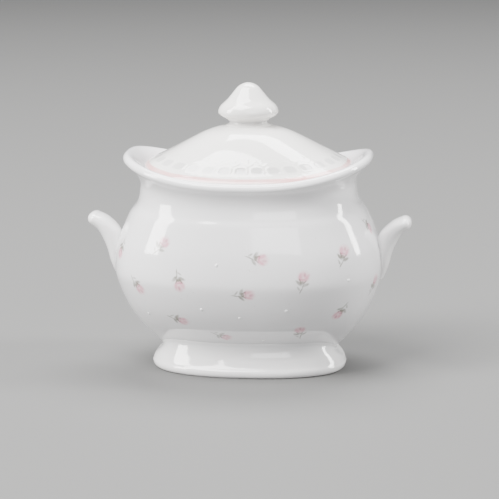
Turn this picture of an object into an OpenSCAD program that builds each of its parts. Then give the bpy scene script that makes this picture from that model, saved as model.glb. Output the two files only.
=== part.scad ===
// Lidded sugar bowl in glazed porcelain: bombe oval bowl on a pedestal foot, two tab handles,
// and a lift-off lid with a locating flange and a pagoda knob.
// X runs from handle to handle, Y from front to back, Z up. The origin is under the foot's centre.
// Every clay piece is a loft: a stack of superellipse rings whose rims may rise at the two ends
// (a saddle) or at the front and back (an arch).

/* [Bowl] */
// Length of the belly along X at its widest
belly_length = 115.4; // [110:0.2:118]
// Depth of the belly along Y at its widest
belly_depth = 82; // [76:0.2:86]
// Height of the belly's widest ring above the table
belly_height = 46; // [44:0.1:48]
// Length of the waist under the rim
neck_length = 92.8; // [92:0.2:96]
// Depth of the waist under the rim
neck_depth = 68; // [67:0.2:70]
// Height of the waist at the front
neck_height = 75.4; // [74:0.1:76.5]
// Thickness of the bowl's wall
wall = 3.3; // [2.6:0.1:3.6]
// Squareness of the belly seen from above (2 is an ellipse)
belly_square = 2.6; // [2.2:0.05:3]

/* [Rim] */
// Length over the two flared ears
ear_length = 107.2; // [106:0.2:109]
// Depth over the rim's rounded lip
rim_depth = 74.6; // [73.6:0.2:76]
// Height of the lip's top at the front
rim_height = 85.9; // [85.4:0.1:86.8]
// How far the ears stand above the front of the rim
ear_rise = 8.7; // [7.4:0.1:9.4]
// Squareness of the rim seen from above
rim_square = 2.7; // [2.3:0.05:3]

/* [Foot] */
// Length of the foot at its widest
foot_length = 84.8; // [82:0.2:87]
// Depth of the foot at its widest
foot_depth = 52.6; // [50:0.2:56]
// Height of the crease between foot and bowl at the two ends
crease_height = 10; // [9.6:0.1:10.8]
// How much higher the crease runs at the front and back
crease_arch = 4.4; // [3.4:0.1:4.8]
// Squareness of the foot seen from above
foot_square = 2.35; // [2:0.05:2.6]

/* [Handles] */
// Length over both handle tips
handle_span = 140; // [138:0.2:143]
// Height of the handle tips
handle_tip_height = 65.6; // [64:0.2:67]
// Width of a handle along Y
handle_width = 13.6; // [10:0.2:18]
// Thickness of a handle near its tip
handle_thickness = 6; // [5:0.1:6.4]

/* [Lid] */
// Length of the lid's edge
lid_length = 88.6; // [87:0.2:89]
// Depth of the lid's edge
lid_depth = 64.8; // [63.6:0.2:65]
// Height of the dome's crown, where the knob sits
crown_height = 106.2; // [104:0.1:108]
// Thickness of the dome
lid_wall = 3.2; // [2.6:0.1:3.6]
// Height of the flange's lower edge
flange_bottom = 78.6; // [76:0.1:81]
// Thickness of the flange
flange_wall = 2.6; // [2.2:0.1:3]
// Clearance between the flange and the seat's inner edge
flange_gap = 1.3; // [0.8:0.1:2]

/* [Knob] */
// Length of the knob over its lip
knob_length = 25.8; // [22:0.2:30]
// Depth of the knob over its lip
knob_depth = 22; // [20:0.2:28]
// Height of the knob above the dome's crown
knob_height = 17.8; // [16:0.1:20]

/* [Resolution] */
// Points around a big ring
ring_points = 72; // [48:8:72]
// Points around the knob
knob_points = 44; // [32:4:64]
// Points around a handle's section
handle_points = 20; // [16:2:28]

/* [Hidden] */

glaze_white = [0.93, 0.93, 0.94];
lid_white = [0.95, 0.94, 0.93];

// A station is [half length, half depth, squareness, height, end rise, front arch].
belly_a = belly_length / 2;
belly_b = belly_depth / 2;
neck_a = neck_length / 2;
neck_b = neck_depth / 2;
ear_a = ear_length / 2;
rim_b = rim_depth / 2;
foot_a = foot_length / 2;
foot_b = foot_depth / 2;
lid_a = lid_length / 2;
lid_b = lid_depth / 2;

end_power = 2.4;        // how late along the length the ears start to rise
arch_power = 4;       // how soon the front arch reaches its full height
seat_z = 83.5;        // front height of the seat that carries the lid
seat_rise = 3.9;      // the seat's rise at its ends
seat_width = 4.2;     // width of the seat's ledge
rest_gap = 0.3;       // air left between the lid and its seat
lid_side_gap = 0.8;   // air between the lid's edge and the rim's inner wall
seat_a = lid_a + lid_side_gap;
seat_b = lid_b + lid_side_gap;
mouth_a = seat_a - seat_width;
mouth_b = seat_b - seat_width;
crease_a = 38.6;      // half length of the crease between bowl and foot
crease_b = 21.4;      // half depth of that crease
floor_z = 7;          // underside of the bowl's floor, above the table

// ---- shared functions -------------------------------------------------------------------

function signed_power(v, p) = sign(v) * pow(abs(v), p);

// One ring of points on the superellipse of a station.
function ring(s, count) = [
    for (i = [0 : count - 1])
        let (t = 360 * i / count,
             u = signed_power(cos(t), 2 / s[2]),
             v = signed_power(sin(t), 2 / s[2]))
        [s[0] * u, s[1] * v, s[3] + s[4] * pow(abs(u), end_power) + s[5] * (1 - pow(1 - v * v, arch_power))]
];

// Catmull-Rom value between p1 and p2.
function blend(p0, p1, p2, p3, t) =
    0.5 * (2 * p1 + (p2 - p0) * t + (2 * p0 - 5 * p1 + 4 * p2 - p3) * t * t
           + (3 * p1 - p0 - 3 * p2 + p3) * t * t * t);

// A smooth run through the stations, with the given number of steps between each two.
function smooth(p, steps) = [
    for (i = [0 : len(p) - 2])
        for (j = [0 : steps - 1])
            blend(p[max(i - 1, 0)], p[i], p[i + 1], p[min(i + 2, len(p) - 1)], j / steps),
    p[len(p) - 1]
];

// A list without its first item, where the run before it already ends on that item.
function without_first(list) = [for (i = [1 : len(list) - 1]) list[i]];

// Triangles between ring r and ring q of a stack with the given number of points a ring.
function band(r, q, count) = [
    for (i = [0 : count - 1])
        let (k = (i + 1) % count)
        each [[r * count + i, r * count + k, q * count + k], [r * count + i, q * count + k, q * count + i]]
];

// A closed skin between a capped first ring and a capped last ring.
// The stack starts at the crown and runs down the outside.
module capped_loft(rings) {
    count = len(rings[0]);
    last = len(rings) - 1;
    polyhedron(
        points = [for (r = rings) each r],
        faces = concat(
            [[for (i = [count - 1 : -1 : 0]) i]],
            [for (r = [0 : last - 1]) each band(r, r + 1, count)],
            [[for (i = [0 : count - 1]) last * count + i]]),
        convexity = 8);
}

// The same list from its last item to its first.
function reversed(list) = [for (i = [len(list) - 1 : -1 : 0]) list[i]];

// A closed collar-shaped skin through big rings, whose last ring joins its first.
// Its stations run down the outside and back up the inside.
module ring_loft(stations) {
    total = len(stations);
    polyhedron(
        points = [for (s = stations) each ring(s, ring_points)],
        faces = [for (r = [0 : total - 1]) each band(r, (r + 1) % total, ring_points)],
        convexity = 8);
}

// ---- bowl -------------------------------------------------------------------------------

// A station of the wall at a height between crease and belly, for a given inset from the outside.
// share is 0 at the belly and 1 at the crease.
function lower_station(share, swell, inset, lift) = [
    belly_a - (belly_a - crease_a) * swell - inset,
    belly_b - (belly_b - crease_b) * swell - inset,
    belly_square + (foot_square - belly_square) * share,
    belly_height - (belly_height - crease_height) * share + lift,
    0,
    crease_arch * share
];

outer_under = [
    [22, 8.4, 2, floor_z, 0, 0],
    [27, 11.6, 2, floor_z + 0.2, 0, 0.8],
    [32, 15.8, 2.1, floor_z + 1, 0, 2.2],
    [36.4, 19.6, 2.2, floor_z + 2.6, 0, 3.4],
    lower_station(1, 1, 0, 0)
];

outer_wall = [
    lower_station(1, 1, 0, 0),
    lower_station(0.92, 0.84, 0, 0),
    lower_station(0.73, 0.525, 0, 0),
    lower_station(0.5, 0.26, 0, 0),
    lower_station(0.2, 0.05, 0, 0),
    [belly_a, belly_b, belly_square, belly_height, 0, 0],
    [belly_a - 1.3, belly_b - 0.9, belly_square, belly_height + 9.6, 0.2, 0],
    [belly_a - 6.2, belly_b - 4, belly_square, belly_height + 21, 1, 0],
    [neck_a + 1.3, neck_b + 1.2, rim_square, neck_height - 4.6, 2.6, 0],
    [neck_a, neck_b, rim_square, neck_height, 3.9, 0],
    [neck_a + 0.2, neck_b + 0.3, rim_square, neck_height + 3.3, 4.9, 0],
    [ear_a - 3.6, rim_b - 1.8, rim_square, rim_height - 4.8, ear_rise - 1, 0],
    [ear_a - 0.8, rim_b - 0.3, rim_square, rim_height - 3.1, ear_rise - 0.3, 0]
];

lip = [
    [ear_a - 0.8, rim_b - 0.3, rim_square, rim_height - 3.1, ear_rise - 0.3, 0],
    [ear_a, rim_b, rim_square, rim_height - 2, ear_rise - 0.1, 0],
    [ear_a - 0.6, rim_b - 0.7, rim_square, rim_height - 0.6, ear_rise, 0],
    [ear_a - 2, rim_b - 2, rim_square, rim_height, ear_rise, 0],
    [ear_a - 3.6, rim_b - 3, rim_square, rim_height - 0.3, ear_rise - 0.5, 0]
];

inner_flare = [
    [ear_a - 3.6, rim_b - 3, rim_square, rim_height - 0.3, ear_rise - 0.5, 0],
    [ear_a - 6.4, seat_b + 0.6, rim_square, rim_height - 0.9, ear_rise - 2, 0],
    [seat_a, seat_b, rim_square, seat_z + 0.4, seat_rise, 0]
];

seat = [
    [seat_a - 0.5, seat_b - 0.5, rim_square, seat_z, seat_rise, 0],
    [mouth_a + 0.5, mouth_b + 0.5, rim_square, seat_z, seat_rise, 0],
    [mouth_a, mouth_b, rim_square, seat_z - 0.5, seat_rise, 0]
];

inner_wall = [
    [mouth_a, mouth_b, rim_square, seat_z - 3.2, seat_rise, 0],
    [neck_a - wall - 0.8, neck_b - wall - 0.6, rim_square, neck_height, 3.2, 0],
    [neck_a + 1.3 - wall, neck_b + 1.2 - wall, rim_square, neck_height - 5.2, 2.6, 0],
    [belly_a - 6.4 - wall, belly_b - 4.1 - wall, belly_square, belly_height + 19.8, 1, 0],
    [belly_a - 1.3 - wall, belly_b - 0.9 - wall, belly_square, belly_height + 9, 0.2, 0],
    [belly_a - wall, belly_b - wall, belly_square, belly_height, 0, 0],
    lower_station(0.2, 0.05, wall, 0.6),
    lower_station(0.5, 0.26, wall, 1.2),
    lower_station(0.73, 0.525, wall * 0.85, 1.9),
    lower_station(0.92, 0.84, wall * 0.6, 2.8),
    [crease_a - wall, crease_b - wall, foot_square, floor_z + wall + 1.9, 0, 3.1],
    [26, 11.4, 2, floor_z + wall + 0.2, 0, 0.8],
    [17, 6, 2, floor_z + wall, 0, 0]
];

module bowl_body() {
    stations = concat(
        outer_under,
        without_first(smooth(outer_wall, 2)),
        without_first(lip),
        without_first(smooth(inner_flare, 2)),
        seat,
        smooth(inner_wall, 2));
    color(glaze_white)
        capped_loft([for (s = reversed(stations)) ring(s, ring_points)]);
}

// ---- pedestal foot ----------------------------------------------------------------------

// The outside runs from inside the bowl's wall down to the table, convex at the ends
// and slightly hollow under the crease at the front and back.
foot_outside = [
    [crease_a - 0.6, crease_b - 0.8, foot_square, crease_height + 0.9, 0, crease_arch],
    [crease_a - 0.1, crease_b, foot_square, crease_height - 0.2, 0, crease_arch],
    [crease_a - 0.6, crease_b - 0.1, foot_square, crease_height - 1.4, 0, crease_arch],
    [crease_a + 0.5, crease_b + 0.2, foot_square, crease_height - 2.7, 0, crease_arch * 0.85],
    [foot_a - 1.6, foot_b - 3.9, foot_square, crease_height - 4.1, 0, crease_arch * 0.6],
    [foot_a - 0.7, foot_b - 2.7, foot_square, crease_height - 5.4, 0, crease_arch * 0.4],
    [foot_a - 0.2, foot_b - 1.3, foot_square, crease_height - 6.8, 0, crease_arch * 0.2],
    [foot_a, foot_b - 0.2, foot_square, 2.6, 0, 0.3],
    [foot_a - 0.4, foot_b - 0.3, foot_square, 1, 0, 0],
    [foot_a - 1.5, foot_b - 1.4, foot_square, 0, 0, 0]
];

foot_inside = [
    [foot_a - 5, foot_b - 4.8, foot_square, 0, 0, 0],
    [foot_a - 6, foot_b - 5.8, foot_square, 1, 0, 0],
    [crease_a - 4.6, crease_b - 3.6, foot_square, 5.2, 0, 1.6],
    [crease_a - 5.4, crease_b - 4.6, foot_square, floor_z + 1.9, 0, 2.6]
];

module pedestal_foot() {
    color(glaze_white)
        ring_loft(concat(smooth(foot_outside, 2), foot_inside));
}

// ---- handles ----------------------------------------------------------------------------

// The handle's centre line in the XZ plane: [x, z, half thickness, half width].
// It leaves the belly's wall at a tangent, curls outwards and ends in a rounded tip.
tip_x = handle_span / 2;
handle_path = [
    [belly_a - 1.2, belly_height - 6, 1.8, handle_width * 0.3],
    [belly_a + 0.3, belly_height, 2.7, handle_width * 0.42],
    [belly_a + 1, belly_height + 6, handle_thickness * 0.6, handle_width * 0.48],
    [belly_a + 2.6, belly_height + 11.5, handle_thickness * 0.7, handle_width / 2],
    [tip_x - 6.4, handle_tip_height - 3.8, handle_thickness * 0.59, handle_width / 2],
    [tip_x - 2.6, handle_tip_height - 1.4, handle_thickness / 2, handle_width / 2]
];
handle_square = 2.3;   // squareness of a handle's section
tip_steps = 4;         // rings that round off the tip
tip_narrow = 0.25;     // share of its width that a handle keeps at the very tip

// Section of a handle at a path point, in the plane across the path's direction.
function handle_ring(p, direction, scale_by) =
    let (across = [-direction[1], direction[0]] / norm(direction))
    [for (i = [0 : handle_points - 1])
        let (t = 360 * i / handle_points,
             n = signed_power(cos(t), 2 / handle_square) * p[2] * scale_by,
             w = signed_power(sin(t), 2 / handle_square) * p[3] * (tip_narrow + (1 - tip_narrow) * scale_by))
        [p[0] + across[0] * n, w, p[1] + across[1] * n]];

module tab_handle() {
    line = smooth(handle_path, 3);
    last = len(line) - 1;
    end_direction = [line[last][0] - line[last - 1][0], line[last][1] - line[last - 1][1]];
    end_unit = end_direction / norm(end_direction);
    // The tip is a quarter round of the handle's half thickness.
    tip = [for (j = [1 : tip_steps])
        let (t = 86 * j / tip_steps,
             reach = sin(t) * handle_thickness / 2)
        handle_ring([line[last][0] + end_unit[0] * reach, line[last][1] + end_unit[1] * reach,
                     line[last][2], line[last][3]], end_direction, cos(t))];
    body = [for (i = [0 : last])
        let (a = line[max(i - 1, 0)], b = line[min(i + 1, last)])
        handle_ring(line[i], [b[0] - a[0], b[1] - a[1]], 1)];
    capped_loft(concat(body, tip));
}

module handle_right() {
    color(glaze_white) tab_handle();
}

module handle_left() {
    color(glaze_white) mirror([1, 0, 0]) tab_handle();
}

// ---- lid --------------------------------------------------------------------------------

lid_square = 2.65;     // squareness of the lid's edge
lid_edge_z = 85.5;     // front height of the lid's outermost edge

dome_top = [
    [7.4, 6.6, 2, crown_height, 0, 0],
    [12.2, 11, 2, crown_height - 0.9, 0, 0],
    [18.9, 16.2, 2.1, crown_height - 3.5, 0.3, 0],
    [26.6, 21.4, 2.3, crown_height - 7.9, 0.8, 0],
    [34, 26, 2.5, crown_height - 12.9, 1.8, 0],
    [lid_a - 3.8, lid_b - 3.1, lid_square, lid_edge_z + 3, 3.4, 0],
    [lid_a - 0.7, lid_b - 0.7, lid_square, lid_edge_z + 0.9, seat_rise, 0]
];

dome_edge = [
    [lid_a, lid_b, lid_square, lid_edge_z, seat_rise, 0],
    [lid_a - 0.2, lid_b - 0.2, lid_square, lid_edge_z - 1, seat_rise, 0],
    [lid_a - 0.9, lid_b - 0.9, lid_square, seat_z + rest_gap, seat_rise, 0]
];

dome_under = [
    [mouth_a - flange_gap, mouth_b - flange_gap, lid_square, seat_z + rest_gap, seat_rise, 0],
    [mouth_a - flange_gap - flange_wall - 1, mouth_b - flange_gap - flange_wall - 1, lid_square,
     seat_z + rest_gap + 1, 3.6, 0],
    [32.6, 24, 2.5, crown_height - 15, 1.7, 0],
    [26, 19.6, 2.3, crown_height - 7.9 - lid_wall, 0.8, 0],
    [18.6, 14.8, 2.1, crown_height - 3.5 - lid_wall, 0.3, 0],
    [11, 9.4, 2, crown_height - 0.9 - lid_wall, 0, 0],
    [5, 4.4, 2, crown_height - 0.6 - lid_wall, 0, 0]
];

module lid_dome() {
    stations = concat(smooth(dome_top, 2), dome_edge, smooth(dome_under, 2));
    color(lid_white)
        capped_loft([for (s = stations) ring(s, ring_points)]);
}

// A plain oval collar that drops into the mouth and stops the lid sliding off its seat.
module lid_flange() {
    outside_a = mouth_a - flange_gap;
    outside_b = mouth_b - flange_gap;
    inside_a = outside_a - flange_wall;
    inside_b = outside_b - flange_wall;
    edge = 0.6;   // rounding of the collar's lower edge
    joint_z = seat_z + rest_gap + 0.7;   // inside the dome's underside, where the two are luted
    stations = [
        [outside_a, outside_b, lid_square, joint_z, seat_rise, 0],
        [outside_a, outside_b, lid_square, flange_bottom + edge, 0, 0],
        [outside_a - edge, outside_b - edge, lid_square, flange_bottom, 0, 0],
        [inside_a + edge, inside_b + edge, lid_square, flange_bottom, 0, 0],
        [inside_a, inside_b, lid_square, flange_bottom + edge, 0, 0],
        [inside_a, inside_b, lid_square, joint_z + 0.4, seat_rise, 0]
    ];
    color(lid_white)
        ring_loft(stations);
}

// ---- knob -------------------------------------------------------------------------------

knob_a = knob_length / 2;
knob_b = knob_depth / 2;
knob_square = 2.3;

// Share of the knob's half width, and share of its height above the crown.
knob_outline = [
    [0.76, -0.02],
    [0.67, 0.02],
    [0.63, 0.055],
    [0.645, 0.09],
    [0.79, 0.165],
    [0.94, 0.23],
    [1, 0.315],
    [0.92, 0.45],
    [0.7, 0.6],
    [0.52, 0.755],
    [0.35, 0.9],
    [0.2, 0.97],
    [0.06, 1]
];

module lid_knob() {
    buried = 0.8;   // how far the neck reaches into the dome
    neck = knob_outline[0];
    profile = concat([[neck[0], neck[1] - buried / knob_height]], smooth(knob_outline, 2));
    color(lid_white)
        capped_loft([for (p = reversed(profile))
            ring([knob_a * p[0], knob_b * p[0], knob_square, crown_height + knob_height * p[1], 0, 0],
                 knob_points)]);
}

bowl_body();
pedestal_foot();
handle_left();
handle_right();
lid_dome();
lid_flange();
lid_knob();
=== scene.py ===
"""Looks for the lidded sugar bowl: porcelain lofts with rosebud sprigs and a relief border on the lid."""

import math

import bpy
import numpy as np
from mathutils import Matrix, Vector


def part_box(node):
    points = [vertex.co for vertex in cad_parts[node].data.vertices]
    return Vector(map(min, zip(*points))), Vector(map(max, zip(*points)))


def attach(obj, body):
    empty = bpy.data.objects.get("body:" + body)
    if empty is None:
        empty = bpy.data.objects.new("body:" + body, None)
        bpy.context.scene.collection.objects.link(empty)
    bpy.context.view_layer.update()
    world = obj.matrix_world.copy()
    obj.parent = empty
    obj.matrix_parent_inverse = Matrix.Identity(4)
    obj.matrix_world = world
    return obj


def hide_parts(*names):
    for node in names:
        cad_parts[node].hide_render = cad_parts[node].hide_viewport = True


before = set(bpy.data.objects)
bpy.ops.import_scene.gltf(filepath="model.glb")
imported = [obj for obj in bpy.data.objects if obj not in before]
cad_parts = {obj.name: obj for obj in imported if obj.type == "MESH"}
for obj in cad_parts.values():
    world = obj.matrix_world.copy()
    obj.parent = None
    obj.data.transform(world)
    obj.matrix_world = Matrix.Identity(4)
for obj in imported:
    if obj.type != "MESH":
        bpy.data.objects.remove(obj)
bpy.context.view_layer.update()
MM = 0.001

# ---- driving sizes, in millimetres: from the frame, or as in the CAD source -----------------------


def box_mm(node):
    low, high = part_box(node)
    return np.array(low) / MM, np.array(high) / MM


bowl_low, bowl_high = box_mm("bowl_body")
foot_high = box_mm("pedestal_foot")[1]
tab_low, tab_high = box_mm("handle_right")
dome_high = box_mm("lid_dome")[1]
collar_low, collar_high = box_mm("lid_flange")
knob_high = box_mm("lid_knob")[1]

belly_a, belly_b = bowl_high[0], bowl_high[1]
ear_rise = 8.7                        # how far the ears stand above the front of the rim
rim_z = bowl_high[2] - ear_rise       # top of the lip at the front
ear_a, rim_b = 53.6, 37.3             # half length over the ears and half depth over the lip
rim_square = 2.7
neck_a, neck_b, neck_z = 46.4, 34.0, 75.4
belly_z, belly_square = 46.0, 2.6
wall = 3.3
crease_a, crease_b, crease_z, crease_arch = 38.6, 21.4, 10.0, 4.4
floor_z = bowl_low[2]
foot_a, foot_b, foot_square = foot_high[0], foot_high[1] + 0.1, 2.35
lid_a, lid_b, lid_square = dome_high[0], dome_high[1], 2.65
crown_z = dome_high[2]
lid_edge_z = 85.5
lid_wall = 3.2
seat_z, seat_rise = 83.5, 3.9
seat_a, seat_b = lid_a + 0.8, lid_b + 0.8
mouth_a, mouth_b = seat_a - 4.2, seat_b - 4.2
collar_a, collar_b, collar_wall = collar_high[0], collar_high[1], 2.6
collar_z = collar_low[2]
knob_a, knob_b, knob_z, knob_square = knob_high[0], knob_high[1], knob_high[2], 2.3
tip_x = 70.0                          # half of the span over the handles, before the tip's rounding
tip_z = 65.6
tab_width = tab_high[1] - tab_low[1]
tab_thickness = 6.0

END_POWER = 2.4       # how late along the length the ears start to rise
ARCH_POWER = 4        # how soon the crease's front arch reaches its full height

# ---- loft tools -----------------------------------------------------------------------------------

QUARTER_STEPS = 4001                        # steps that measure a quarter of a superellipse
DISC_SHARES = (0.05, 0.25, 0.5, 0.75)       # ring sizes that close a flat disc


def signed_power(v, p):
    return np.sign(v) * np.abs(v) ** p


def ring(station, turn):
    """Points of one superellipse ring.

    A station is half length, half depth, squareness, height, end rise and front arch.
    """
    a, b, square, z, rise, arch = station
    u = signed_power(np.cos(turn), 2 / square)
    v = signed_power(np.sin(turn), 2 / square)
    height = z + rise * np.abs(u) ** END_POWER + arch * (1 - (1 - v * v) ** ARCH_POWER)
    return np.stack([a * u, b * v, height], axis=1)


def even_turn(a, b, square, count):
    """Angles of count points spaced evenly along a superellipse, starting at its +X end."""
    fine = np.linspace(0, math.pi / 2, QUARTER_STEPS)
    x = a * signed_power(np.cos(fine), 2 / square)
    y = b * signed_power(np.sin(fine), 2 / square)
    run = np.concatenate([[0], np.cumsum(np.hypot(np.diff(x), np.diff(y)))])
    quarter = np.interp(np.linspace(0, run[-1], count // 4 + 1), run, fine)
    first = quarter[:-1]
    second = math.pi - quarter[:0:-1]
    half = np.concatenate([first, second])
    return np.concatenate([half, half + math.pi])


def smooth(stations, steps=16):
    """A Catmull-Rom run through the stations."""
    p = np.array(stations, float)
    out = []
    for i in range(len(p) - 1):
        p0, p1, p2, p3 = p[max(i - 1, 0)], p[i], p[i + 1], p[min(i + 2, len(p) - 1)]
        for t in np.arange(steps) / steps:
            out.append(0.5 * (2 * p1 + (p2 - p0) * t + (2 * p0 - 5 * p1 + 4 * p2 - p3) * t ** 2
                              + (3 * p1 - p0 - 3 * p2 + p3) * t ** 3))
    out.append(p[-1])
    return np.array(out)


def profile_run(stations):
    """Distance along the front profile, from the first station."""
    steps = np.diff(stations[:, [1, 3]], axis=0)
    return np.concatenate([[0], np.cumsum(np.hypot(steps[:, 0], steps[:, 1]))])


def spaced(stations, gap):
    """The run of stations with rows about gap millimetres apart."""
    run = profile_run(stations)
    rows = np.linspace(0, run[-1], max(2, int(round(run[-1] / gap)) + 1))
    return np.stack([np.interp(rows, run, stations[:, k]) for k in range(stations.shape[1])], axis=1)


def chain(*runs):
    """Runs of stations joined end to end, each without a first row that the run before it ends on."""
    out = [runs[0]]
    for run in runs[1:]:
        out.append(run[1:] if np.allclose(out[-1][-1], run[0]) else run)
    return np.concatenate(out)


def grid_normals(grid):
    """Outward unit normals of a grid of rings whose rows run from the crown down the outside."""
    along = np.roll(grid, -1, axis=1) - np.roll(grid, 1, axis=1)
    down = np.gradient(grid, axis=0)
    n = np.cross(down, along)
    return n / np.maximum(np.linalg.norm(n, axis=2, keepdims=True), 1e-9)


def loft_object(name, grid, caps=True, looped=False, attributes=None):
    """A smooth quad mesh over a grid of rings, whose rows run from the crown down the outside."""
    rows, count = grid.shape[:2]
    points = grid.reshape(-1, 3)
    index = np.arange(rows * count).reshape(rows, count)
    upper, lower = (index, np.roll(index, -1, axis=0)) if looped else (index[:-1], index[1:])
    next_upper, next_lower = np.roll(upper, -1, axis=1), np.roll(lower, -1, axis=1)
    faces = np.stack([upper, next_upper, next_lower, lower], -1).reshape(-1, 4)
    faces = faces[:, ::-1].tolist()
    if caps:
        first, last = len(points), len(points) + 1
        points = np.concatenate([points, grid[0].mean(0)[None], grid[-1].mean(0)[None]])
        for i in range(count):
            j = (i + 1) % count
            faces.append([first, index[0, i], index[0, j]])
            faces.append([last, index[-1, j], index[-1, i]])
    mesh = bpy.data.meshes.new(name)
    mesh.from_pydata((points * MM).tolist(), [], faces)
    mesh.shade_smooth()
    for key, values in (attributes or {}).items():
        at_caps = np.zeros((len(points) - rows * count, values.shape[-1]))
        values = np.concatenate([values.reshape(rows * count, -1), at_caps])
        kind, part = ("FLOAT_VECTOR", "vector") if values.shape[1] == 3 else ("FLOAT", "value")
        field = mesh.attributes.new(key, kind, "POINT")
        field.data.foreach_set(part, values.astype(np.float32).ravel())
    mesh.validate()
    piece = bpy.data.objects.new(name, mesh)
    bpy.context.scene.collection.objects.link(piece)
    return piece


def disc_stations(station, shares):
    """Stations that shrink a flat ring towards its centre."""
    out = []
    for share in shares:
        out.append([station[0] * share, station[1] * share, station[2], station[3], 0, 0])
    return np.array(out, float)


def settle(piece, body, slot, *nodes):
    """A finished piece takes its body and hides the CAD nodes it stands for. The slot is not used."""
    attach(piece, body)
    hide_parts(*nodes)


# ---- material tools -------------------------------------------------------------------------------


class Paint:
    """A glossy porcelain material whose colour is built up in layers."""

    def __init__(self, name, colour):
        self.material = bpy.data.materials.new(name)
        self.material.use_nodes = True
        self.tree = self.material.node_tree
        self.shader = self.tree.nodes["Principled BSDF"]
        self.place = self.node("ShaderNodeTexCoord").outputs["Object"]
        self.colour = self.rgb(colour)

    def node(self, kind, **settings):
        made = self.tree.nodes.new(kind)
        for key, value in settings.items():
            setattr(made, key, value)
        return made

    def link(self, source, target):
        self.tree.links.new(source, target)

    def feed(self, socket, value):
        if isinstance(value, (int, float, tuple)):
            socket.default_value = value
        else:
            self.link(value, socket)

    def rgb(self, colour):
        made = self.node("ShaderNodeRGB")
        made.outputs[0].default_value = (*colour, 1)
        return made.outputs[0]

    def math(self, operation, *values):
        made = self.node("ShaderNodeMath", operation=operation)
        for socket, value in zip(made.inputs, values):
            self.feed(socket, value)
        return made.outputs[0]

    def ramp(self, value, low, high, to_low=0.0, to_high=1.0):
        """A smooth step from to_low at low to to_high at high."""
        made = self.node("ShaderNodeMapRange", interpolation_type="SMOOTHSTEP")
        entries = {"Value": value, "From Min": low, "From Max": high, "To Min": to_low, "To Max": to_high}
        for socket, entry in entries.items():
            self.feed(made.inputs[socket], entry)
        return made.outputs["Result"]

    def noise(self, scale, detail):
        made = self.node("ShaderNodeTexNoise")
        made.inputs["Scale"].default_value = scale
        made.inputs["Detail"].default_value = detail
        self.link(self.place, made.inputs["Vector"])
        return made.outputs["Fac"]

    def patches(self, scale, detail, *limits):
        """Soft patches: a noise put through a ramp."""
        return self.ramp(self.noise(scale, detail), *limits)

    def attribute(self, name, output="Fac"):
        return self.node("ShaderNodeAttribute", attribute_name=name).outputs[output]

    def lay(self, colour, amount):
        """Lays a colour over what is there, where amount is 1."""
        mix = self.node("ShaderNodeMix", data_type="RGBA")
        self.feed(mix.inputs["Factor"], amount)
        self.link(self.colour, mix.inputs["A"])
        self.link(self.rgb(colour), mix.inputs["B"])
        self.colour = mix.outputs["Result"]


GLAZE_IOR, COAT_WEIGHT, COAT_ROUGHNESS = 1.5, 0.6, 0.04
WAVE_STRENGTH, WAVE_DEPTH = 0.5, 0.00006      # slow waves in the glaze; all depths are in metres
PIT_STRENGTH, PIT_DEPTH = 0.3, 0.00003        # pinholes in the glaze
SPECK_BROWN, SPECK_AMOUNT = (0.42, 0.38, 0.34), 0.2

WAVE_NOISE = 75, 1.5                          # scale and detail
# Patches: the noise's scale and detail, the ramp's two limits, and its values at them.
TONE_PATCHES = 22, 3, 0.45, 0.8, 0, 0.18
SPECK_PATCHES = 900, 0, 0.83, 0.86, 0, 1
ROUGHNESS_PATCHES = 140, 2, 0.3, 0.75, 0.07, 0.13
PIT_PATCHES = 700, 0, 0.74, 0.82, 0, 1

# The darker tints serve two uses: thicker glaze in random patches, and painted shade together with thicker
# glaze in hollows and creases.
BODY_WHITE, BODY_THICK_AND_SHADE = (0.80, 0.792, 0.803), (0.68, 0.69, 0.70)
FOOT_WHITE, BARE_CLAY = (0.81, 0.80, 0.80), (0.62, 0.58, 0.52)
LID_WHITE, LID_THICK_AND_SHADE = (0.83, 0.815, 0.79), (0.64, 0.63, 0.62)
ENAMEL_WHITE, ENAMEL_THICK = (0.9, 0.9, 0.9), (0.7, 0.72, 0.72)


def glaze_layers(paint, thick_and_shade_tint, pool_and_shade_share=0.5):
    """What all the porcelain has: slow tone changes, a greyer tint in hollows and creases that is partly
    thicker glaze and partly painted shade, a few specks.
    """
    # Greyer in hollows and creases: thicker glaze there, and painted shade.
    paint.lay(thick_and_shade_tint, paint.math("MULTIPLY", paint.attribute("pool_and_shade"), pool_and_shade_share))
    paint.lay(thick_and_shade_tint, paint.patches(*TONE_PATCHES))
    paint.lay(SPECK_BROWN, paint.math("MULTIPLY", paint.patches(*SPECK_PATCHES), SPECK_AMOUNT))


def finish_glaze(paint):
    """Connects the colour and gives the surface its gloss, slow waves and faint pinholes."""
    shader = paint.shader
    paint.link(paint.colour, shader.inputs["Base Color"])
    paint.link(paint.patches(*ROUGHNESS_PATCHES), shader.inputs["Roughness"])
    shader.inputs["IOR"].default_value = GLAZE_IOR
    shader.inputs["Coat Weight"].default_value = COAT_WEIGHT
    shader.inputs["Coat Roughness"].default_value = COAT_ROUGHNESS
    shader.inputs["Coat IOR"].default_value = GLAZE_IOR
    wave = paint.node("ShaderNodeBump")
    wave.inputs["Strength"].default_value = WAVE_STRENGTH
    wave.inputs["Distance"].default_value = WAVE_DEPTH
    paint.link(paint.noise(*WAVE_NOISE), wave.inputs["Height"])
    pits = paint.node("ShaderNodeBump", invert=True)
    pits.inputs["Strength"].default_value = PIT_STRENGTH
    pits.inputs["Distance"].default_value = PIT_DEPTH
    paint.link(paint.patches(*PIT_PATCHES), pits.inputs["Height"])
    paint.link(wave.outputs["Normal"], pits.inputs["Normal"])
    paint.link(pits.outputs["Normal"], shader.inputs["Normal"])
    return paint.material


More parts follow.
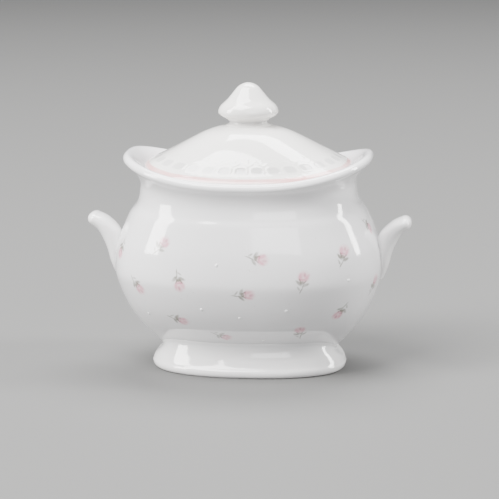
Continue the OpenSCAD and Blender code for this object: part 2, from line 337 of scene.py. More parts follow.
# The sprig is drawn in millimetres: u to its right, v towards the bud's tip.
LEAF_GREEN = (0.105, 0.1, 0.055)
STEM_GREEN = (0.13, 0.12, 0.075)
PETAL_PALE = (0.77, 0.37, 0.45)
PETAL_MID = (0.63, 0.22, 0.31)
PETAL_DEEP = (0.42, 0.11, 0.17)
SPRIG = [
    # name, colour, centre u, centre v, half width, half length, lean in degrees, strength
    ("stem", STEM_GREEN, 0.3, -2.9, 0.3, 2.0, -8, 0.75),
    ("left_leaf", LEAF_GREEN, -1.3, -0.8, 0.66, 1.6, 62, 0.8),
    ("right_leaf", LEAF_GREEN, 1.35, -0.95, 0.62, 1.55, -50, 0.75),
    ("low_leaf", LEAF_GREEN, -0.85, -2.7, 0.4, 1.1, 48, 0.6),
    ("outer_petals", PETAL_PALE, 0.0, 1.9, 2.4, 2.5, 0, 0.72),
    ("left_petal", PETAL_MID, -1.15, 1.5, 0.8, 1.8, 16, 0.55),
    ("right_petal", PETAL_MID, 1.2, 1.7, 0.66, 1.8, -16, 0.6),
    ("heart", PETAL_DEEP, 0.15, 2.75, 0.55, 1.0, 8, 0.5),
    ("rolled_edge", PETAL_DEEP, -0.2, 0.75, 1.35, 0.38, 4, 0.5),
    ("left_sepal", LEAF_GREEN, -0.95, 0.1, 0.36, 1.05, 30, 0.8),
    ("right_sepal", LEAF_GREEN, 0.9, 0.1, 0.34, 1.0, -32, 0.75),
    ("calyx", LEAF_GREEN, 0.0, -0.45, 1.0, 0.8, 0, 0.88),
]
SPRIG_SCALE = 1.14
SPRIG_REACH = 7.0     # radius within which a sprig is drawn, in millimetres
SPRIG_BAND = 1.5      # round a sprig, up to this many reaches, places are pushed straight outwards
SPRIG_SHAKE = 0.7     # how far the brush strays, in millimetres
SHAKE_SCALE = 420
STROKE_EDGE = 1.22, 0.45     # where a stroke's soft border starts and ends, as shares of its size
WASH_PATCHES = 520, 2, 0.25, 0.75, 0.6, 1
FAR_AWAY = 60.0       # given to every point outside a sprig or off the dome's top


def sprig_layers(paint):
    """Paints the rosebud sprigs from each point's place within its sprig."""
    here = paint.attribute("sprig", "Vector")
    wobble = paint.node("ShaderNodeTexNoise")
    wobble.inputs["Scale"].default_value = SHAKE_SCALE
    paint.link(paint.place, wobble.inputs["Vector"])
    shake = paint.node("ShaderNodeVectorMath", operation="MULTIPLY_ADD")
    shake.inputs[1].default_value = (SPRIG_SHAKE, SPRIG_SHAKE, 0)
    shake.inputs[2].default_value = (-SPRIG_SHAKE / 2, -SPRIG_SHAKE / 2, 0)
    paint.link(wobble.outputs["Color"], shake.inputs[0])
    drawn = paint.node("ShaderNodeVectorMath", operation="ADD")
    paint.link(here, drawn.inputs[0])
    paint.link(shake.outputs[0], drawn.inputs[1])
    flat = paint.node("ShaderNodeVectorMath", operation="MULTIPLY")
    flat.inputs[1].default_value = (1, 1, 0)
    paint.link(drawn.outputs[0], flat.inputs[0])
    wash = paint.patches(*WASH_PATCHES)
    for name, colour, u, v, half_width, half_length, lean, strength in SPRIG:
        brush = paint.node("ShaderNodeMapping", vector_type="TEXTURE", name=name, label=name)
        brush.inputs["Location"].default_value = (u, v, 0)
        brush.inputs["Rotation"].default_value = (0, 0, math.radians(lean))
        brush.inputs["Scale"].default_value = (half_width, half_length, 1)
        paint.link(flat.outputs[0], brush.inputs["Vector"])
        size = paint.node("ShaderNodeVectorMath", operation="LENGTH")
        paint.link(brush.outputs[0], size.inputs[0])
        inside = paint.ramp(size.outputs["Value"], *STROKE_EDGE, 0, strength)
        paint.lay(colour, paint.math("MULTIPLY", inside, wash))


def body_glaze():
    paint = Paint("body_porcelain", BODY_WHITE)
    glaze_layers(paint, BODY_THICK_AND_SHADE)
    sprig_layers(paint)
    return finish_glaze(paint)


def plain_glaze():
    """The foot and handles: the body's glaze, with bare unglazed clay where the foot stands."""
    paint = Paint("foot_porcelain", FOOT_WHITE)
    glaze_layers(paint, BODY_THICK_AND_SHADE)
    paint.lay(BARE_CLAY, paint.attribute("bare"))
    return finish_glaze(paint)


LINE_PINK = (0.72, 0.29, 0.29)
LINE_AT, LINE_HALF = 1.35, 1.15       # the pink line's distance from the lid's edge and its half width
LINE_SOFT = 0.3                       # half width of its soft border
DRIFT_PATCHES = 45, 2, 0.2, 0.8, -0.25, 0.25      # how far the painter's hand strays, in millimetres
FADE_PATCHES = 60, 3, 0.25, 0.7, 0.35, 0.8


def lid_glaze():
    """Warm white with a thin hand-drawn pink line along the edge."""
    paint = Paint("lid_porcelain", LID_WHITE)
    # The lid's hollows take the full grey tint: thicker glaze and painted shade.
    glaze_layers(paint, LID_THICK_AND_SHADE, 1.0)
    edge = paint.attribute("edge_run")
    drift = paint.patches(*DRIFT_PATCHES)
    off = paint.math("ABSOLUTE", paint.math("SUBTRACT", paint.math("ADD", edge, drift), LINE_AT))
    line = paint.ramp(off, LINE_HALF + LINE_SOFT, LINE_HALF - LINE_SOFT)
    fade = paint.patches(*FADE_PATCHES)
    paint.lay(LINE_PINK, paint.math("MULTIPLY", line, fade))
    return finish_glaze(paint)


# ---- bowl -----------------------------------------------------------------------------------------

BOWL_POINTS = 400
BOWL_ROW_GAPS = 0.75, 1.3                   # outside and inside, in millimetres
# Thicker glaze and painted shade just above the crease: the height, how far above and below, and how much.
BOWL_POOL_SHADE_Z, BOWL_POOL_SHADE_SPREAD, BOWL_POOL_SHADE_SHARE = crease_z + 2.6, 3.0, 0.5
bowl_turn = even_turn(belly_a, belly_b, belly_square, BOWL_POINTS)


def lower(share, swell, inset=0.0, lift=0.0):
    """A station between belly (share 0) and crease (share 1)."""
    return [belly_a - (belly_a - crease_a) * swell - inset,
            belly_b - (belly_b - crease_b) * swell - inset,
            belly_square + (foot_square - belly_square) * share,
            belly_z - (belly_z - crease_z) * share + lift,
            0,
            crease_arch * share]


OUTER_WALL = [
    [ear_a - 0.8, rim_b - 0.3, rim_square, rim_z - 3.1, ear_rise - 0.3, 0],
    [ear_a - 3.6, rim_b - 1.8, rim_square, rim_z - 4.8, ear_rise - 1, 0],
    [neck_a + 0.2, neck_b + 0.3, rim_square, neck_z + 3.3, 4.9, 0],
    [neck_a, neck_b, rim_square, neck_z, 3.9, 0],
    [neck_a + 1.3, neck_b + 1.2, rim_square, neck_z - 4.6, 2.6, 0],
    [belly_a - 6.2, belly_b - 4, belly_square, belly_z + 21, 1, 0],
    [belly_a - 1.3, belly_b - 0.9, belly_square, belly_z + 9.6, 0.2, 0],
    [belly_a, belly_b, belly_square, belly_z, 0, 0],
    lower(0.2, 0.05),
    lower(0.5, 0.26),
    lower(0.73, 0.525),
    lower(0.92, 0.84),
    lower(1, 1),
]
UNDERSIDE = [
    lower(1, 1),
    [36.4, 19.6, 2.2, floor_z + 2.6, 0, 3.4],
    [32, 15.8, 2.1, floor_z + 1, 0, 2.2],
    [27, 11.6, 2, floor_z + 0.2, 0, 0.8],
    [22, 8.4, 2, floor_z, 0, 0],
]
LIP = [
    [ear_a - 4, seat_b + 1, rim_square, rim_z - 0.4, ear_rise - 0.6, 0],
    [ear_a - 2, rim_b - 2, rim_square, rim_z, ear_rise, 0],
    [ear_a - 0.6, rim_b - 0.7, rim_square, rim_z - 0.6, ear_rise, 0],
    [ear_a, rim_b, rim_square, rim_z - 2, ear_rise - 0.1, 0],
    [ear_a - 0.8, rim_b - 0.3, rim_square, rim_z - 3.1, ear_rise - 0.3, 0],
]
INNER_FLARE = [
    [seat_a, seat_b, rim_square, seat_z + 0.4, seat_rise, 0],
    [ear_a - 6.4, seat_b + 0.6, rim_square, rim_z - 0.9, ear_rise - 2, 0],
    [ear_a - 4, seat_b + 1, rim_square, rim_z - 0.4, ear_rise - 0.6, 0],
]
SEAT = [
    [mouth_a, mouth_b, rim_square, seat_z - 0.6, seat_rise, 0],
    [mouth_a + 0.2, mouth_b + 0.2, rim_square, seat_z - 0.15, seat_rise, 0],
    [mouth_a + 0.6, mouth_b + 0.6, rim_square, seat_z, seat_rise, 0],
    [seat_a - 0.6, seat_b - 0.6, rim_square, seat_z, seat_rise, 0],
    [seat_a - 0.15, seat_b - 0.15, rim_square, seat_z + 0.1, seat_rise, 0],
    [seat_a, seat_b, rim_square, seat_z + 0.4, seat_rise, 0],
]
INNER_WALL = [
    [17, 6, 2, floor_z + wall, 0, 0],
    [26, 11.4, 2, floor_z + wall + 0.2, 0, 0.8],
    [crease_a - wall, crease_b - wall, foot_square, floor_z + wall + 1.9, 0, 3.1],
    lower(0.92, 0.84, wall * 0.6, 2.8),
    lower(0.73, 0.525, wall * 0.85, 1.9),
    lower(0.5, 0.26, wall, 1.2),
    lower(0.2, 0.05, wall, 0.6),
    [belly_a - wall, belly_b - wall, belly_square, belly_z, 0, 0],
    [belly_a - 1.3 - wall, belly_b - 0.9 - wall, belly_square, belly_z + 9, 0.2, 0],
    [belly_a - 6.4 - wall, belly_b - 4.1 - wall, belly_square, belly_z + 19.8, 1, 0],
    [neck_a + 1.3 - wall, neck_b + 1.2 - wall, rim_square, neck_z - 5.2, 2.6, 0],
    [neck_a - wall - 0.8, neck_b - wall - 0.6, rim_square, neck_z, 3.2, 0],
    [mouth_a, mouth_b, rim_square, seat_z - 3.2, seat_rise, 0],
]

# Where a sprig sits on the front: across and up in millimetres, and the way its bud points,
# in degrees clockwise from straight up. The back carries the same, turned half round.
SPRIGS = [
    (-33, 59, 42), (-44.5, 41.5, 145), (-25, 45.5, 172), (8, 55.5, 102), (2.5, 40, 88), (26.5, 46, 14),
    (43, 55.5, 24), (42, 30.5, 206), (24.5, 21, 352), (-8.5, 19, 122), (-26.5, 26.5, 112), (52, 65, 135),
    (55, 40, 20), (-52.5, 55, 195),
]
# Raised enamel dots between the sprigs, placed the same way.
DOTS = [(-16, 32.5), (0, 29), (20, 32.5), (8.5, 16.5), (-9, 52.5), (45.5, 45), (-40.5, 28)]
DOT_RADIUS, DOT_HEIGHT = 0.75, 0.28
DOT_SINK = 0.25           # how far a dot's border is sunk, as a share of its height
DOT_RINGS, DOT_POINTS = 4, 16


def wall_spot(grid, normals, across, up, side):
    """The wall's nearest point to a place on the front (side -1) or the back (side 1).

    Returns the point, its normal and its upward way along the wall.
    """
    x = across * -side
    other_side = np.where(grid[..., 1] * side > 0, 0, np.inf)
    score = (grid[..., 0] - x) ** 2 + (grid[..., 2] - up) ** 2 + other_side
    spot = np.unravel_index(score.argmin(), score.shape)
    normal = normals[spot]
    upward = np.array([0, 0, 1.0]) - normal * normal[2]
    return grid[spot], normal, upward / np.linalg.norm(upward)


def sprig_field(grid, normals):
    """Each point's place within the sprig around it, in millimetres, or far away."""
    field = np.full(grid.shape, FAR_AWAY)
    for side in (-1, 1):
        for across, up, heading in SPRIGS:
            centre, normal, upward = wall_spot(grid, normals, across, up, side)
            right = np.cross(upward, normal)
            angle = math.radians(heading)
            tipward = upward * math.cos(angle) + right * math.sin(angle)
            sideways = right * math.cos(angle) - upward * math.sin(angle)
            offset = grid - centre
            u, v = offset @ sideways / SPRIG_SCALE, offset @ tipward / SPRIG_SCALE
            distance = np.linalg.norm(offset, axis=2)
            near = distance < SPRIG_REACH
            band = (distance >= SPRIG_REACH) & (distance < SPRIG_REACH * SPRIG_BAND)
            field[near] = np.stack([u, v, 0 * u], -1)[near]
            away = FAR_AWAY / np.maximum(distance, 1)
            field[band] = np.stack([u * away, v * away, 0 * u], -1)[band]
    return field


def bowl_body():
    outer_gap, inner_gap = BOWL_ROW_GAPS
    outside = spaced(chain(smooth(LIP), smooth(OUTER_WALL), smooth(UNDERSIDE)), outer_gap)
    inside = spaced(chain(smooth(INNER_WALL), np.array(SEAT), smooth(INNER_FLARE)), inner_gap)
    bottom = disc_stations(UNDERSIDE[-1], DISC_SHARES[::-1])
    inner_floor = disc_stations(INNER_WALL[0], DISC_SHARES)
    stations = chain(inner_floor, inside, outside, bottom)
    grid = np.array([ring(s, bowl_turn) for s in stations])
    start = len(inner_floor) + len(inside) - 1
    stop = start + len(outside)
    normals = grid_normals(grid[start:stop])
    field = np.full(grid.shape, FAR_AWAY)
    field[start:stop] = sprig_field(grid[start:stop], normals)
    height = grid[start:stop, :, 2]
    # Greyer band just above the crease: thicker glaze and painted shade.
    pool_and_shade = np.zeros((*grid.shape[:2], 1))
    pooled_and_shaded = np.clip(1 - np.abs(height - BOWL_POOL_SHADE_Z) / BOWL_POOL_SHADE_SPREAD, 0, 1)
    pool_and_shade[start:stop, :, 0] = pooled_and_shaded * BOWL_POOL_SHADE_SHARE
    piece = loft_object("bowl_porcelain", grid, attributes={"sprig": field, "pool_and_shade": pool_and_shade})
    piece.data.materials.append(body_glaze())
    settle(piece, "bowl", "body_glaze", "bowl_body")
    return grid[start:stop], normals


def enamel_dots(grid, normals):
    """Tiny raised dots of white enamel, each a low dome sunk a little into the glaze."""
    points, faces = [], []
    rings, count = DOT_RINGS, DOT_POINTS
    for side in (-1, 1):
        for across, up in DOTS:
            centre, normal, upward = wall_spot(grid, normals, across, up, side)
            right = np.cross(upward, normal)
            base = len(points)
            points.append(centre + normal * DOT_HEIGHT)
            for k in range(1, rings + 1):
                tilt = math.pi / 2 * k / rings
                lift = DOT_HEIGHT * ((1 + DOT_SINK) * math.cos(tilt) - DOT_SINK)
                for i in range(count):
                    turn = 2 * math.pi * i / count
                    out = (right * math.cos(turn) + upward * math.sin(turn)) * DOT_RADIUS * math.sin(tilt)
                    points.append(centre + out + normal * lift)
            for i in range(count):
                j = (i + 1) % count
                faces.append([base, base + 1 + i, base + 1 + j])
                for k in range(rings - 1):
                    row = base + 1 + k * count
                    faces.append([row + i, row + count + i, row + count + j, row + j])
            faces.append([base + 1 + (rings - 1) * count + i for i in range(count - 1, -1, -1)])
    mesh = bpy.data.meshes.new("enamel_dots")
    mesh.from_pydata((np.array(points) * MM).tolist(), [], faces)
    mesh.shade_smooth()
    piece = bpy.data.objects.new("enamel_dots", mesh)
    bpy.context.scene.collection.objects.link(piece)
    paint = Paint("enamel", ENAMEL_WHITE)
    glaze_layers(paint, ENAMEL_THICK)
    piece.data.materials.append(finish_glaze(paint))
    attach(piece, "bowl")


# ---- foot and handles -----------------------------------------------------------------------------

FOOT_POINTS = 320
FOOT_ROW_GAPS = 0.6, 0.8                    # outside and inside, in millimetres
# Thicker glaze and painted shade near the top of the foot's outside, under the crease.
FOOT_POOL_SHADE_AT, FOOT_POOL_SHADE_SPREAD = 0.18, 0.2  # shares of the outside, down from the top
FOOT_OUTSIDE = [
    [crease_a - 0.6, crease_b - 0.8, foot_square, crease_z + 0.9, 0, crease_arch],
    [crease_a - 0.1, crease_b, foot_square, crease_z - 0.2, 0, crease_arch],
    [crease_a - 0.6, crease_b - 0.1, foot_square, crease_z - 1.4, 0, crease_arch],
    [crease_a + 0.5, crease_b + 0.2, foot_square, crease_z - 2.7, 0, crease_arch * 0.85],
    [foot_a - 1.6, foot_b - 3.9, foot_square, crease_z - 4.1, 0, crease_arch * 0.6],
    [foot_a - 0.7, foot_b - 2.7, foot_square, crease_z - 5.4, 0, crease_arch * 0.4],
    [foot_a - 0.2, foot_b - 1.3, foot_square, crease_z - 6.8, 0, crease_arch * 0.2],
    [foot_a, foot_b - 0.2, foot_square, 2.6, 0, 0.3],
    [foot_a - 0.4, foot_b - 0.3, foot_square, 1, 0, 0],
    [foot_a - 1.5, foot_b - 1.4, foot_square, 0, 0, 0],
]
FOOT_STAND = [
    [foot_a - 1.5, foot_b - 1.4, foot_square, 0, 0, 0],
    [foot_a - 5, foot_b - 4.8, foot_square, 0, 0, 0],
]
FOOT_INSIDE = [
    [foot_a - 5, foot_b - 4.8, foot_square, 0, 0, 0],
    [foot_a - 6, foot_b - 5.8, foot_square, 1, 0, 0],
    [crease_a - 4.6, crease_b - 3.6, foot_square, 5.2, 0, 1.6],
    [crease_a - 5.4, crease_b - 4.6, foot_square, floor_z + 1.9, 0, 2.6],
]


def pedestal_foot(glaze):
    outer_gap, inner_gap = FOOT_ROW_GAPS
    outside = spaced(smooth(FOOT_OUTSIDE), outer_gap)
    stand = spaced(np.array(FOOT_STAND, float), outer_gap)
    inside = spaced(smooth(FOOT_INSIDE), inner_gap)
    stations = chain(outside, stand, inside)
    turn = even_turn(foot_a, foot_b, foot_square, FOOT_POINTS)
    grid = np.array([ring(s, turn) for s in stations])
    bare = np.zeros(grid.shape[:2])
    bare[len(outside):len(outside) + len(stand) - 2] = 1
    # Greyer near the foot's top: thicker glaze and painted shade.
    pool_and_shade = np.zeros(grid.shape[:2])
    down = np.linspace(0, 1, len(outside))
    pool_and_shade[:len(outside)] = np.clip(1 - np.abs(down - FOOT_POOL_SHADE_AT) / FOOT_POOL_SHADE_SPREAD, 0, 1)[:, None]
    piece = loft_object("foot_porcelain", grid, caps=False, looped=True,
                        attributes={"bare": bare[..., None], "pool_and_shade": pool_and_shade[..., None]})
    piece.data.materials.append(glaze)
    settle(piece, "bowl", "body_glaze", "pedestal_foot")


HANDLE_POINTS = 64
HANDLE_SQUARE = 2.3
HANDLE_STEPS = 10         # rings between two points of the path
TIP_ANGLES = np.radians(np.linspace(8, 88, 11))     # rings that round off a handle's tip
TIP_NARROW = 0.25         # share of its width that a handle keeps at the very tip
# Centre line in the XZ plane: x, z, half thickness, half width.
HANDLE_PATH = [
    [belly_a - 1.2, belly_z - 6, 1.8, tab_width * 0.3],
    [belly_a + 0.3, belly_z, 2.7, tab_width * 0.42],
    [belly_a + 1, belly_z + 6, tab_thickness * 0.6, tab_width * 0.48],
    [belly_a + 2.6, belly_z + 11.5, tab_thickness * 0.7, tab_width / 2],
    [tip_x - 6.4, tip_z - 3.8, tab_thickness * 0.59, tab_width / 2],
    [tip_x - 2.6, tip_z - 1.4, tab_thickness / 2, tab_width / 2],
]


def handle_ring(point, direction, scale):
    across = np.array([-direction[1], direction[0]]) / np.hypot(*direction)
    turn = np.linspace(0, 2 * math.pi, HANDLE_POINTS, endpoint=False)
    n = signed_power(np.cos(turn), 2 / HANDLE_SQUARE) * point[2] * scale
    w = signed_power(np.sin(turn), 2 / HANDLE_SQUARE) * point[3] * (TIP_NARROW + (1 - TIP_NARROW) * scale)
    return np.stack([point[0] + across[0] * n, w, point[1] + across[1] * n], axis=1)


def tab_handle(name, side, node, glaze):
    line = smooth(HANDLE_PATH, HANDLE_STEPS)
    directions = np.gradient(line[:, :2], axis=0)
    rings = [handle_ring(p, d, 1) for p, d in zip(line, directions)]
    end, heading = line[-1], line[-1, :2] - line[-2, :2]
    heading = heading / np.hypot(*heading)
    for tilt in TIP_ANGLES:
        reach = math.sin(tilt) * tab_thickness / 2
        centre = [end[0] + heading[0] * reach, end[1] + heading[1] * reach, end[2], end[3]]
        rings.append(handle_ring(centre, heading, math.cos(tilt)))
    grid = np.array(rings)
    grid[..., 0] *= side
    if side < 0:
        grid = grid[:, ::-1]
    piece = loft_object(name, grid, attributes={"pool_and_shade": np.zeros((*grid.shape[:2], 1))})
    piece.data.materials.append(glaze)
    settle(piece, "bowl", "body_glaze", node)


# ---- lid ------------------------------------------------------------------------------------------

LID_POINTS = 960
BORDER_CELLS = 32         # arches round the lid
BORDER_HEIGHT = 0.06      # height of the relief, in millimetres
BORDER_PITCH = 6.9        # length of one arch
BORDER_END = 12.5         # beyond this distance from the edge the dome is plain
BAND_RUN = 6.4            # distance from the edge at which the arches are spaced evenly

# Windows in the border: distance from the edge, half length and half height, and the frame round them.
WINDOW_AT, WINDOW_HALF_LENGTH, WINDOW_HALF_HEIGHT = 6.3, 2.55, 1.75
FRAME_AT, FRAME_STEEPNESS, FRAME_HALF_WIDTH = 1.05, 2.2, 0.42
# Greyer windows, from thicker glaze and painted shade: full inside the window, fading out across the
# frame.
WINDOW_POOL_SHADE_AT, WINDOW_POOL_SHADE_SPREAD = 1.15, 0.4
# Garlands: distance from the edge, swing towards the crown at mid arch, half width, share of the height.
SWAG = 3.9, -0.9, 0.4, 0.6
CREST = 9.5, 0.8, 0.38, 0.7
# Beads on the piers between arches: distance from the edge, half width, half length, share of the height.
DROP = 2.7, 0.8, 1.1, 0.9
DART = 10.9, 0.65, 1.0, 1.0

DOME_STEPS = 40           # rings between two stations of the dome's top
FINE_RUN, FINE_GAP = 13.0, 0.26             # where the border's fine rows start, and their spacing
CROWN_ROWS, CROWN_SHARES = 22, (0.1, 0.5)   # rows from the crown to there, and rings that close it
EDGE_GAP, UNDER_GAP = 0.35, 1.4
DOME_TOP = [
    [7.4, 6.6, 2, crown_z, 0, 0],
    [12.2, 11, 2, crown_z - 0.9, 0, 0],
    [18.9, 16.2, 2.1, crown_z - 3.5, 0.3, 0],
    [26.6, 21.4, 2.3, crown_z - 7.9, 0.8, 0],
    [34, 26, 2.5, crown_z - 12.9, 1.8, 0],
    [lid_a - 3.8, lid_b - 3.1, lid_square, lid_edge_z + 3, 3.4, 0],
    [lid_a - 0.7, lid_b - 0.7, lid_square, lid_edge_z + 0.9, seat_rise, 0],
    [lid_a, lid_b, lid_square, lid_edge_z, seat_rise, 0],
]
DOME_EDGE = [
    [lid_a, lid_b, lid_square, lid_edge_z, seat_rise, 0],
    [lid_a - 0.1, lid_b - 0.1, lid_square, lid_edge_z - 0.8, seat_rise, 0],
    [lid_a - 0.4, lid_b - 0.4, lid_square, lid_edge_z - 1.3, seat_rise, 0],
    [lid_a - 1, lid_b - 1, lid_square, seat_z + 0.3, seat_rise, 0],
]
DOME_UNDER = [
    [lid_a - 1, lid_b - 1, lid_square, seat_z + 0.3, seat_rise, 0],
    [collar_a, collar_b, lid_square, seat_z + 0.3, seat_rise, 0],
    [collar_a - collar_wall - 1, collar_b - collar_wall - 1, lid_square, seat_z + 1.3, 3.6, 0],
    [32.6, 24, 2.5, crown_z - 15, 1.7, 0],
    [26, 19.6, 2.3, crown_z - 7.9 - lid_wall, 0.8, 0],
    [18.6, 14.8, 2.1, crown_z - 3.5 - lid_wall, 0.3, 0],
    [11, 9.4, 2, crown_z - 0.9 - lid_wall, 0, 0],
    [5, 4.4, 2, crown_z - 0.6 - lid_wall, 0, 0],
]


def ridge(distance, half_width):
    """A rounded ridge, 1 high on its line."""
    return np.exp(-(distance / half_width) ** 2)


def garland(run, swing, row):
    """A ridge that swings once in each arch."""
    at, reach, half_width, share = row
    return ridge(run - (at + reach * swing), half_width) * share


def beads(run, to_pier, row):
    """A rounded oval bead on each pier between two arches."""
    at, half_width, half_length, share = row
    return np.clip(1 - np.hypot(to_pier / half_width, (run - at) / half_length), 0, 1) ** 0.5 * share


def border_relief(run, cell):
    """The lace border at a distance from the edge (run) and a place across an arch (cell, -0.5 to 0.5).

    Returns its height as a share, and how much greyer the windows are: thicker glaze and painted shade.
    """
    across = cell * BORDER_PITCH
    swing = np.cos(2 * math.pi * cell)
    to_pier = np.abs(np.abs(across) - BORDER_PITCH / 2)
    in_length, in_height = across / WINDOW_HALF_LENGTH, (run - WINDOW_AT) / WINDOW_HALF_HEIGHT
    window = (np.abs(in_length) ** 3 + np.abs(in_height) ** 3) ** (1 / 3)
    height = np.maximum.reduce([
        ridge((window - FRAME_AT) * FRAME_STEEPNESS, FRAME_HALF_WIDTH),
        garland(run, swing, SWAG),
        garland(run, swing, CREST),
        beads(run, to_pier, DROP),
        beads(run, to_pier, DART),
    ])
    # Painted shade in the windows, together with the thicker glaze.
    pooled_and_shaded = np.clip(WINDOW_POOL_SHADE_AT - window, 0, WINDOW_POOL_SHADE_SPREAD) / WINDOW_POOL_SHADE_SPREAD
    return height, pooled_and_shaded


def lid_dome(glaze):
    top = smooth(DOME_TOP, DOME_STEPS)
    run = profile_run(top)
    from_edge = run[-1] - run
    coarse = np.linspace(run[-1], FINE_RUN, CROWN_ROWS)[:-1]
    fine = np.arange(FINE_RUN, -0.01, -FINE_GAP)
    rows = np.concatenate([coarse, fine])
    picked = np.stack([np.interp(-rows, -from_edge, top[:, k]) for k in range(top.shape[1])], axis=1)
    edge = spaced(smooth(DOME_EDGE), EDGE_GAP)
    under = spaced(smooth(DOME_UNDER), UNDER_GAP)
    crown = disc_stations(DOME_TOP[0], CROWN_SHARES)
    ceiling = disc_stations(DOME_UNDER[-1], CROWN_SHARES[::-1])
    stations = chain(crown, picked, edge, under, ceiling)
    band = picked[np.abs(rows - BAND_RUN).argmin()]
    turn = even_turn(band[0], band[1], band[2], LID_POINTS)
    grid = np.array([ring(s, turn) for s in stations])
    shape = grid.shape[:2]
    normals = grid_normals(grid)
    run_field = np.full(shape, FAR_AWAY)
    first = len(crown)
    run_field[first:first + len(rows)] = rows[:, None]
    run_field[first + len(rows):first + len(rows) + len(edge) - 1] = 0
    place = np.arange(LID_POINTS) / LID_POINTS * BORDER_CELLS
    offset = (place - BORDER_CELLS / 4) % 1.0
    cell = np.where(offset > 0.5, offset - 1, offset)
    height, pooled_and_shaded = border_relief(run_field, np.broadcast_to(cell, shape))
    plain = run_field > BORDER_END
    height[plain] = 0
    pooled_and_shaded[plain] = 0
    grid = grid + normals * (height * BORDER_HEIGHT)[..., None]
    fields = {"edge_run": run_field[..., None], "pool_and_shade": pooled_and_shaded[..., None]}
    piece = loft_object("lid_porcelain", grid, attributes=fields)
    piece.data.materials.append(glaze)
    settle(piece, "lid", "lid_glaze", "lid_dome")


COLLAR_POINTS = 320
COLLAR_EDGE, COLLAR_BEVEL = 0.6, 0.3        # rounding of its lower edge, and the share kept at mid corner
COLLAR_JOINT = seat_z + 1                   # height at which it meets the dome


def lid_flange(glaze):
    edge, bevel = COLLAR_EDGE, COLLAR_EDGE * COLLAR_BEVEL
    inner_a, inner_b = collar_a - collar_wall, collar_b - collar_wall
    stations = np.array([
        [collar_a, collar_b, lid_square, COLLAR_JOINT, seat_rise, 0],
        [collar_a, collar_b, lid_square, collar_z + edge * 2, 0, 0],
        [collar_a, collar_b, lid_square, collar_z + edge, 0, 0],
        [collar_a - bevel, collar_b - bevel, lid_square, collar_z + bevel, 0, 0],
        [collar_a - edge, collar_b - edge, lid_square, collar_z, 0, 0],
        [inner_a + edge, inner_b + edge, lid_square, collar_z, 0, 0],
        [inner_a + bevel, inner_b + bevel, lid_square, collar_z + bevel, 0, 0],
        [inner_a, inner_b, lid_square, collar_z + edge, 0, 0],
        [inner_a, inner_b, lid_square, COLLAR_JOINT + 0.4, seat_rise, 0],
    ])
    turn = even_turn(collar_a, collar_b, lid_square, COLLAR_POINTS)
    grid = np.array([ring(s, turn) for s in stations])
    far = np.full((*grid.shape[:2], 1), FAR_AWAY)
    fields = {"edge_run": far, "pool_and_shade": far * 0}
    piece = loft_object("lid_collar", grid, caps=False, looped=True, attributes=fields)
    piece.data.materials.append(glaze)
    settle(piece, "lid", "lid_glaze", "lid_flange")


KNOB_POINTS, KNOB_STEPS = 200, 10
# Share of the knob's half width, and share of its height above the crown.
KNOB_OUTLINE = [
    [0.06, 1], [0.2, 0.97], [0.35, 0.9], [0.52, 0.755], [0.7, 0.6], [0.92, 0.45], [1, 0.315],
    [0.94, 0.23], [0.79, 0.165], [0.645, 0.09], [0.63, 0.055], [0.67, 0.02], [0.76, -0.02], [0.76, -0.065],
]
KNOB_POOL_SHADE_AT, KNOB_POOL_SHADE_SPREAD = 0.07, 0.08   # thicker glaze and painted shade round the neck; shares of the height


def lid_knob(glaze):
    outline = smooth(KNOB_OUTLINE, KNOB_STEPS)
    turn = even_turn(knob_a, knob_b, knob_square, KNOB_POINTS)
    tall = knob_z - crown_z
    stations = [[knob_a * w, knob_b * w, knob_square, crown_z + tall * h, 0, 0] for w, h in outline]
    grid = np.array([ring(s, turn) for s in stations])
    # Greyer round the neck: thicker glaze and painted shade.
    pooled_and_shaded = np.clip(1 - np.abs(outline[:, 1] - KNOB_POOL_SHADE_AT) / KNOB_POOL_SHADE_SPREAD, 0, 1)
    pool_and_shade = np.repeat(pooled_and_shaded[:, None, None], KNOB_POINTS, axis=1)
    far = np.full((*grid.shape[:2], 1), FAR_AWAY)
    piece = loft_object("knob_porcelain", grid, attributes={"edge_run": far, "pool_and_shade": pool_and_shade})
    piece.data.materials.append(glaze)
    settle(piece, "lid", "lid_glaze", "lid_knob")


# ---- studio ---------------------------------------------------------------------------------------

CAMERA_AZIMUTH, CAMERA_ELEVATION, CAMERA_ROLL = 6.7, 11.4, 0.3
CAMERA_DISTANCE, CAMERA_LENS, CAMERA_SHIFT = 0.87, 144.7, 0.0008
VIEW_CENTRE_Z, AIM_Z = 0.055, 0.0512        # height that the camera circles, and height that it looks at

WORLD_COLOUR, WORLD_STRENGTH = (0.88, 0.89, 0.92, 1), 0.32
FLOOR_COLOUR, FLOOR_ROUGHNESS, FLOOR_REACH = (0.125, 0.125, 0.123, 1), 0.75, 9.0
LIGHT_AIM = (0, 0, 0.06)
SOFTBOXES = [
    # name, place, width, height (all in metres), watts, colour
    ("key_softbox", (-0.75, -0.85, 2.1), 1.4, 1.4, 148, (1, 1, 1)),
    ("left_softbox", (-1.7, -0.95, 0.95), 0.7, 1.2, 82, (1, 0.985, 0.96)),
    ("right_strip", (1.65, 0.12, 0.9), 0.34, 1.3, 50, (1, 0.995, 0.98)),
    ("top_softbox", (0.1, 0.7, 2.2), 1.6, 0.9, 100, (1, 1, 1)),
    ("front_window", (0.35, -2.3, 1.05), 1.1, 0.7, 15, (0.98, 0.98, 1)),
]


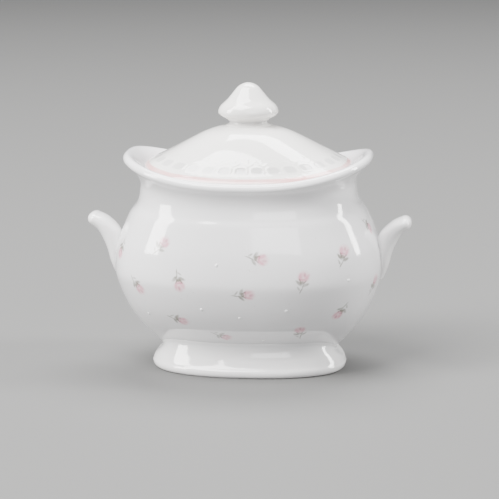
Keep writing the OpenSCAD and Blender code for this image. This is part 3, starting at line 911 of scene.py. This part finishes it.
def camera():
    """The camera stands at the photograph's height and turn."""
    data = bpy.data.cameras.new("camera")
    data.lens = CAMERA_LENS
    data.shift_x = CAMERA_SHIFT
    made = bpy.data.objects.new("camera", data)
    bpy.context.scene.collection.objects.link(made)
    azimuth, elevation = math.radians(CAMERA_AZIMUTH), math.radians(CAMERA_ELEVATION)
    level = math.cos(elevation)
    away = Vector((math.sin(azimuth) * level, -math.cos(azimuth) * level, math.sin(elevation)))
    made.location = Vector((0, 0, VIEW_CENTRE_Z)) + away * CAMERA_DISTANCE
    look = Vector((0, 0, AIM_Z)) - made.location
    turned = look.to_track_quat("-Z", "Y").to_matrix().to_4x4()
    made.rotation_euler = turned.to_euler()
    made.rotation_euler.rotate_axis("Z", math.radians(-CAMERA_ROLL))
    bpy.context.scene.camera = made


def softbox(name, place, width, height, power, colour):
    data = bpy.data.lights.new(name, "AREA")
    data.shape = "RECTANGLE"
    data.size, data.size_y = width, height
    data.energy = power
    data.color = colour
    made = bpy.data.objects.new(name, data)
    bpy.context.scene.collection.objects.link(made)
    made.location = place
    made.rotation_euler = (Vector(LIGHT_AIM) - Vector(place)).to_track_quat("-Z", "Y").to_euler()


def paper_floor():
    mesh = bpy.data.meshes.new("floor")
    reach = FLOOR_REACH
    corners = [(-reach, -reach, 0), (reach, -reach, 0), (reach, reach, 0), (-reach, reach, 0)]
    mesh.from_pydata(corners, [], [(0, 1, 2, 3)])
    floor = bpy.data.objects.new("floor", mesh)
    bpy.context.scene.collection.objects.link(floor)
    paper = bpy.data.materials.new("pale_paper")
    paper.use_nodes = True
    shader = paper.node_tree.nodes["Principled BSDF"]
    shader.inputs["Base Color"].default_value = FLOOR_COLOUR
    shader.inputs["Roughness"].default_value = FLOOR_ROUGHNESS
    mesh.materials.append(paper)


def studio():
    world = bpy.data.worlds.new("studio")
    bpy.context.scene.world = world
    world.use_nodes = True
    backdrop = world.node_tree.nodes["Background"]
    backdrop.inputs["Color"].default_value = WORLD_COLOUR
    backdrop.inputs["Strength"].default_value = WORLD_STRENGTH
    for box in SOFTBOXES:
        softbox(*box)
    paper_floor()


# ---- assembly -------------------------------------------------------------------------------------

camera()
studio()
wall_grid, wall_normals = bowl_body()
enamel_dots(wall_grid, wall_normals)
foot_paint = plain_glaze()
pedestal_foot(foot_paint)
tab_handle("handle_right_porcelain", 1, "handle_right", foot_paint)
tab_handle("handle_left_porcelain", -1, "handle_left", foot_paint)
lid_paint = lid_glaze()
lid_dome(lid_paint)
lid_flange(lid_paint)
lid_knob(lid_paint)
